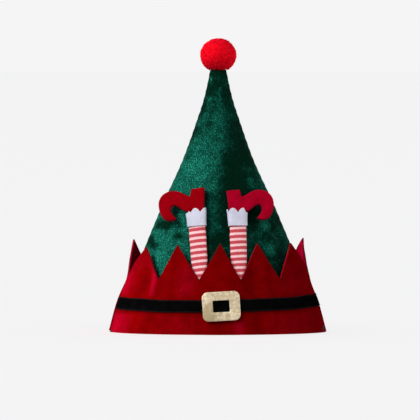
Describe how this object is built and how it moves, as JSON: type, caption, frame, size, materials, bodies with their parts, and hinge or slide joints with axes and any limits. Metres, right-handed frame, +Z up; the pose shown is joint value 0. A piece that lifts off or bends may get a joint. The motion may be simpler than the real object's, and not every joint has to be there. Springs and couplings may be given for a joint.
{
  "type": "elf hat",
  "caption": "Tall costume hat in green velvet with a pointed red felt brim, a black belt and glitter buckle, stuffed striped elf legs kicking up in front, and a pompom on the tip.",
  "frame": {"origin": "on the floor under the middle of the hat", "axes": "+Z up from the hem to the pompom, -Y the front with the buckle and legs, +X to the right as seen from the front"},
  "size_m": [0.2386, 0.1381, 0.3224],
  "materials": {
    "green_velvet": "crushed velvet pile",
    "red_felt": "brushed felt",
    "black_felt": "matte felt",
    "glitter_gold": "pale gold glitter",
    "striped_knit": "red and white striped knit",
    "white_felt": "brushed felt",
    "shoe_felt": "brushed felt",
    "red_yarn": "cut yarn"
  },
  "bodies": {
    "root": {"crown_front": "green_velvet", "crown_back": "green_velvet", "brim": "red_felt", "belt": "black_felt", "buckle": "glitter_gold", "leg_left": "striped_knit", "leg_right": "striped_knit", "cuff_left": "white_felt", "cuff_right": "white_felt", "shoe_left": "shoe_felt", "shoe_right": "shoe_felt", "pompom": "red_yarn"}
  },
  "joints": []
}
